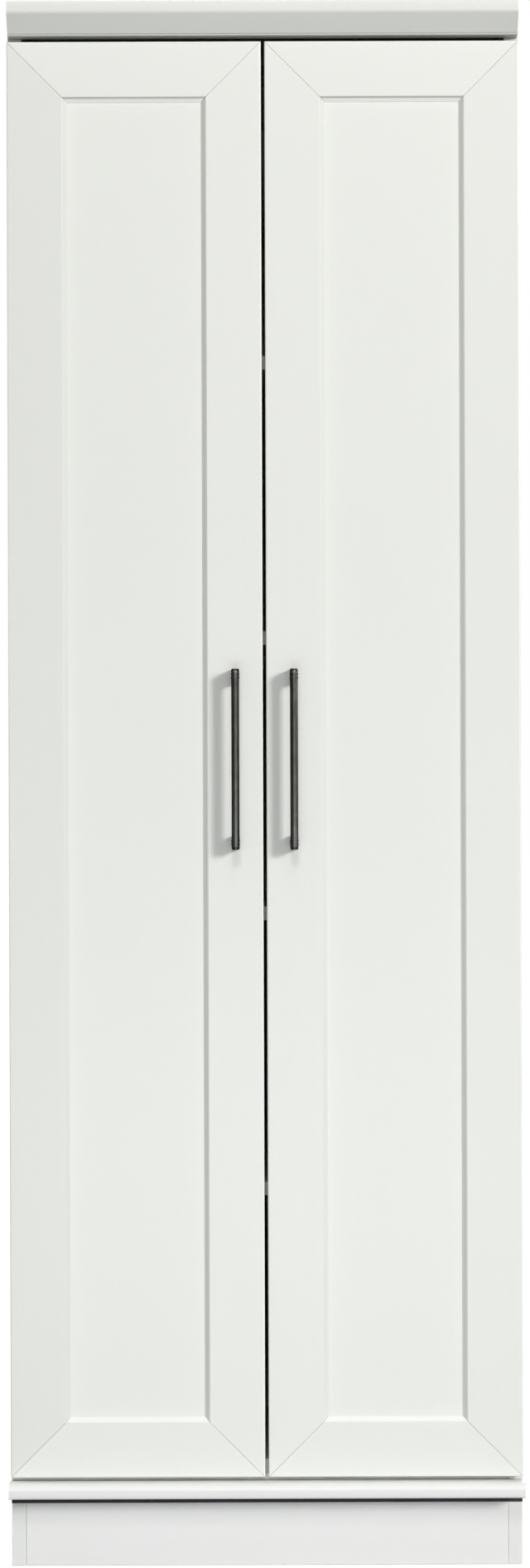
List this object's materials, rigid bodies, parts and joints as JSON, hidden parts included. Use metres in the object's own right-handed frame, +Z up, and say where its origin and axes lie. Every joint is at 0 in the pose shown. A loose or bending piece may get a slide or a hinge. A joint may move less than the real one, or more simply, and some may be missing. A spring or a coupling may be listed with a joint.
{
  "type": "storage cabinet",
  "caption": "Tall narrow cupboard with a pair of framed, recessed-panel doors on concealed hinges, bow handles, inner shelves on pegs, a crown strip and a rounded base strip.",
  "frame": {"origin": "middle of the footprint of the whole object, handles included, on the floor", "axes": "+Z up, +X to the right seen from the front, +Y from the doors towards the back; the front faces -Y"},
  "size_m": [0.595, 0.4402, 1.808],
  "materials": {
    "front_lacquer": "white satin lacquer on fibreboard",
    "carcass_board": "white melamine on chipboard",
    "back_board": "white-faced hardboard",
    "handle_metal": "dark gunmetal, satin",
    "nickel": "nickel plate"
  },
  "bodies": {
    "cabinet": {"back_panel": "back_board", "base_moulding": "front_lacquer", "bottom_panel": "carcass_board", "crown_moulding": "front_lacquer", "left_lower_hinge_arm": "nickel", "left_middle_hinge_arm": "nickel", "left_side": "carcass_board", "left_upper_hinge_arm": "nickel", "right_lower_hinge_arm": "nickel", "right_middle_hinge_arm": "nickel", "right_side": "carcass_board", "right_upper_hinge_arm": "nickel", "shelf_1": "carcass_board", "shelf_1_back_left_pin": "nickel", "shelf_1_back_right_pin": "nickel", "shelf_1_front_left_pin": "nickel", "shelf_1_front_right_pin": "nickel", "shelf_2": "carcass_board", "shelf_3": "carcass_board", "shelf_3_back_left_pin": "nickel", "shelf_3_back_right_pin": "nickel", "shelf_3_front_left_pin": "nickel", "shelf_3_front_right_pin": "nickel", "shelf_4": "carcass_board", "shelf_4_back_left_pin": "nickel", "shelf_4_back_right_pin": "nickel", "shelf_4_front_left_pin": "nickel", "shelf_4_front_right_pin": "nickel", "toe_board": "front_lacquer", "top_panel": "carcass_board"},
    "left_door": {"left_door_bottom_rail": "front_lacquer", "left_door_inner_stile": "front_lacquer", "left_door_outer_stile": "front_lacquer", "left_door_panel": "front_lacquer", "left_door_top_rail": "front_lacquer", "left_handle": "handle_metal", "left_handle_lower_screw": "nickel", "left_handle_upper_screw": "nickel", "left_lower_hinge_cup": "nickel", "left_middle_hinge_cup": "nickel", "left_upper_hinge_cup": "nickel"},
    "left_hinge_links": {"left_lower_hinge_link": "nickel", "left_middle_hinge_link": "nickel", "left_upper_hinge_link": "nickel"},
    "right_door": {"right_door_bottom_rail": "front_lacquer", "right_door_inner_stile": "front_lacquer", "right_door_outer_stile": "front_lacquer", "right_door_panel": "front_lacquer", "right_door_top_rail": "front_lacquer", "right_handle": "handle_metal", "right_handle_lower_screw": "nickel", "right_handle_upper_screw": "nickel", "right_lower_hinge_cup": "nickel", "right_middle_hinge_cup": "nickel", "right_upper_hinge_cup": "nickel"},
    "right_hinge_links": {"right_lower_hinge_link": "nickel", "right_middle_hinge_link": "nickel", "right_upper_hinge_link": "nickel"}
  },
  "joints": [
    {"name": "left_link_swing", "type": "hinge", "parent": "cabinet", "child": "left_hinge_links", "pos_m": [-0.262, -0.17915, 0.93415], "axis": [0, 0, 1], "range_deg": [0, 26.15]},
    {"name": "left_door_swing", "type": "hinge", "parent": "left_hinge_links", "child": "left_door", "pos_m": [-0.2863, -0.17725, 0.93415], "axis": [0, 0, -1], "range_deg": [0, 131.1]},
    {"name": "right_link_swing", "type": "hinge", "parent": "cabinet", "child": "right_hinge_links", "pos_m": [0.262, -0.17915, 0.93415], "axis": [0, 0, -1], "range_deg": [0, 26.15]},
    {"name": "right_door_swing", "type": "hinge", "parent": "right_hinge_links", "child": "right_door", "pos_m": [0.2863, -0.17725, 0.93415], "axis": [0, 0, 1], "range_deg": [0, 131.1]}
  ],
  "couplings": [
    {"joint": "left_link_swing", "follows": "left_door_swing", "ratio": 0.19909},
    {"joint": "right_link_swing", "follows": "right_door_swing", "ratio": 0.19909}
  ]
}
